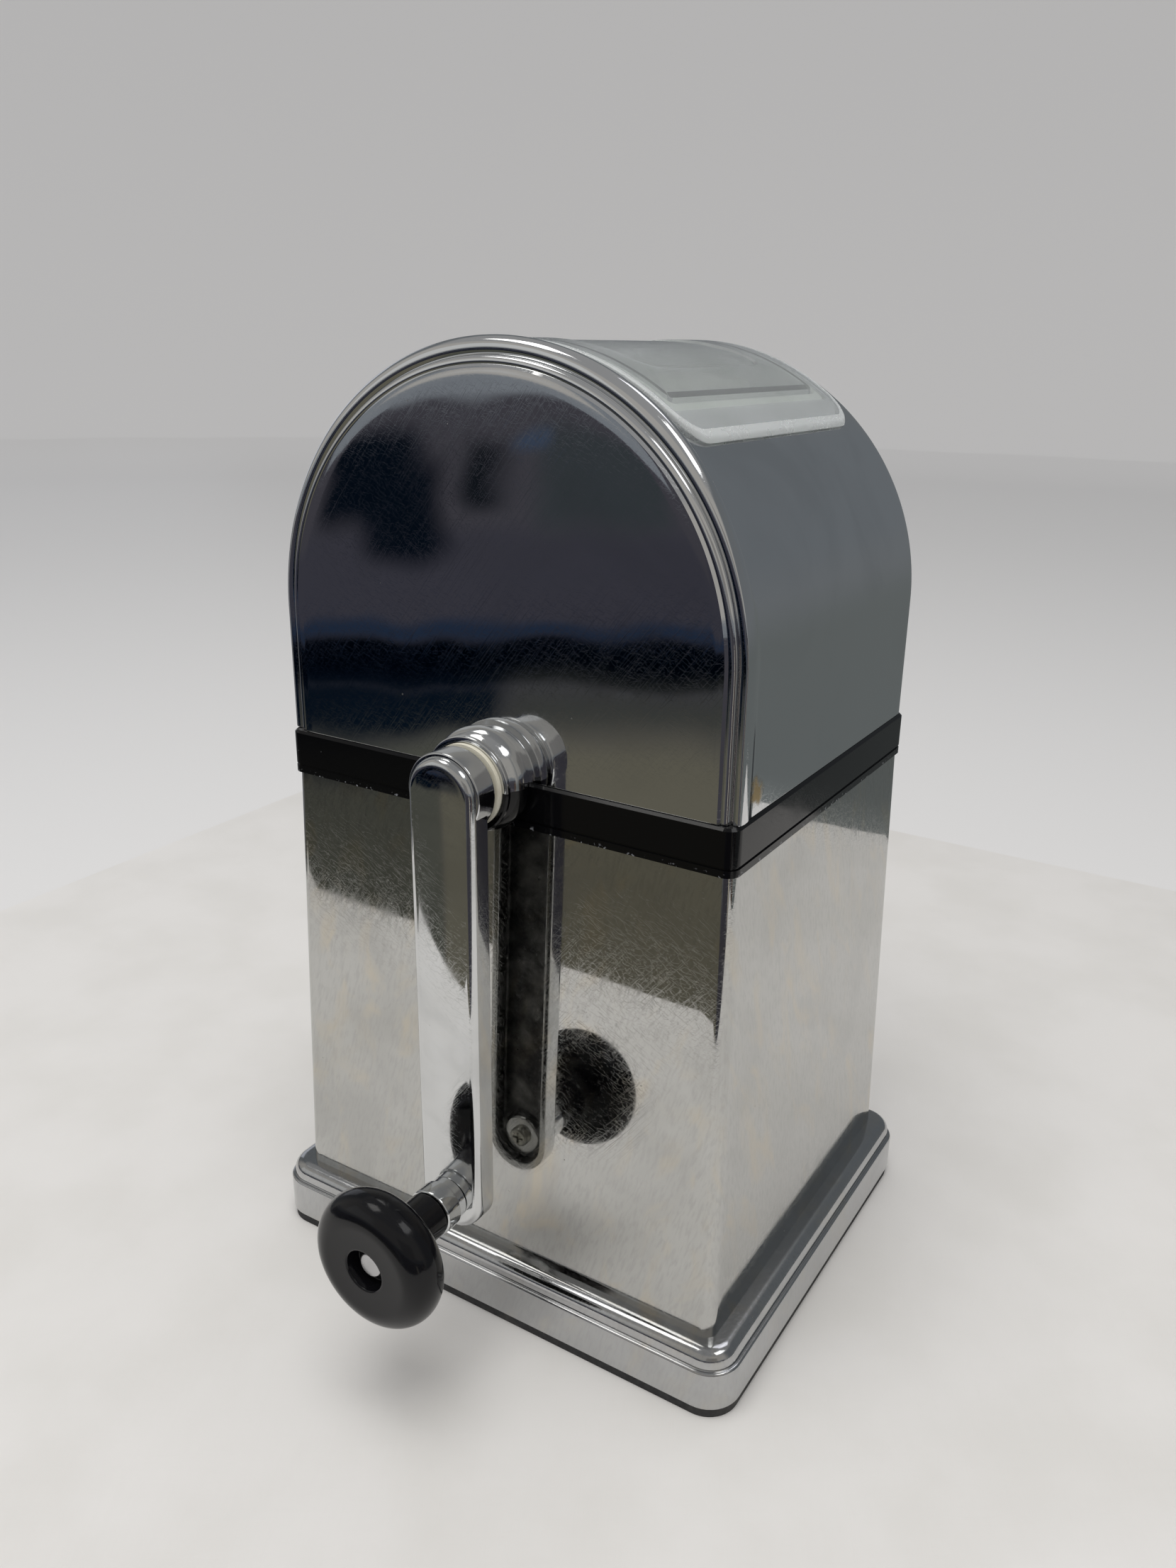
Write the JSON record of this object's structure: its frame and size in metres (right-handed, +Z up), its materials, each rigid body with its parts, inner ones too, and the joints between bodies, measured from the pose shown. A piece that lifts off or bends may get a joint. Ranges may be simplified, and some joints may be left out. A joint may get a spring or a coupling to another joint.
{
  "type": "hand crank ice crusher",
  "caption": "Tabletop ice crusher: a domed hopper with a clear lid over a cranked blade shaft, on a tapered chromed body with a lift-out bin.",
  "frame": {"origin": "on the resting surface, under the middle of the body", "axes": "+Z up, +Y to the back, +X to the right seen from the crank side, the crank in front at -Y"},
  "size_m": [0.149, 0.1701, 0.2524],
  "materials": {
    "pad_rubber": "matt black",
    "chrome_base": "polished chrome plate",
    "chrome_body": "polished chrome plate with fine wipe marks",
    "chrome_dome": "polished chrome plate",
    "chrome_crank": "polished chrome plate",
    "band_plastic": "gloss black",
    "knob_plastic": "gloss black",
    "hopper_plastic": "milky off-white",
    "bin_plastic": "frosted clear",
    "clear_lid": "clear with a faint green tint",
    "bush_nylon": "cream",
    "blade_steel": "ground",
    "shaft_steel": "turned",
    "zinc_steel": "zinc plated"
  },
  "bodies": {
    "base": {"base_pad": "pad_rubber", "base_moulding": "chrome_base", "lower_body": "chrome_body", "body_screws": "zinc_steel"},
    "bin": {"ice_bin": "bin_plastic"},
    "head": {"band_frame": "band_plastic", "dome_shell": "chrome_dome", "dome_screws": "zinc_steel", "hopper_insert": "hopper_plastic", "hopper_screws": "zinc_steel", "coarse_comb": "blade_steel", "fine_comb": "blade_steel", "comb_screws": "zinc_steel", "front_bush": "bush_nylon", "rear_bush": "bush_nylon", "bearing_cap": "band_plastic", "bearing_cap_screws": "zinc_steel"},
    "lid": {"lid": "clear_lid"},
    "crank": {"crank_shaft": "shaft_steel", "breaker_blade_1": "blade_steel", "breaker_blade_2": "blade_steel", "breaker_blade_3": "blade_steel", "breaker_blade_4": "blade_steel", "breaker_blade_5": "blade_steel", "blade_spacer_1": "shaft_steel", "blade_spacer_2": "shaft_steel", "blade_spacer_3": "shaft_steel", "blade_spacer_4": "shaft_steel", "blade_spacer_5": "shaft_steel", "blade_spacer_6": "shaft_steel", "rear_sleeve": "shaft_steel", "front_clip": "zinc_steel", "rear_clip": "zinc_steel", "crank_arm": "chrome_crank", "knob_ferrule": "chrome_crank", "knob_pin": "shaft_steel", "knob_pin_screw": "zinc_steel"},
    "knob": {"grip_knob": "knob_plastic"}
  },
  "joints": [
    {"name": "head_lift", "type": "slide", "parent": "base", "child": "head", "axis": [0, 0, 1], "range_m": [0, 0.26]},
    {"name": "bin_lift", "type": "slide", "parent": "base", "child": "bin", "axis": [0, 0, 1], "range_m": [0, 0.13]},
    {"name": "lid_lift", "type": "slide", "parent": "head", "child": "lid", "axis": [0, 0, 1], "range_m": [0, 0.06]},
    {"name": "crank_turn", "type": "hinge", "parent": "head", "child": "crank", "pos_m": [0, 0, 0.1535], "axis": [0, 1, 0], "continuous": true},
    {"name": "knob_spin", "type": "hinge", "parent": "crank", "child": "knob", "pos_m": [0, -0.095, 0.0449], "axis": [0, 1, 0], "continuous": true}
  ],
  "couplings": [
    {"joint": "bin_lift", "follows": "head_lift", "ratio": 0.5}
  ]
}
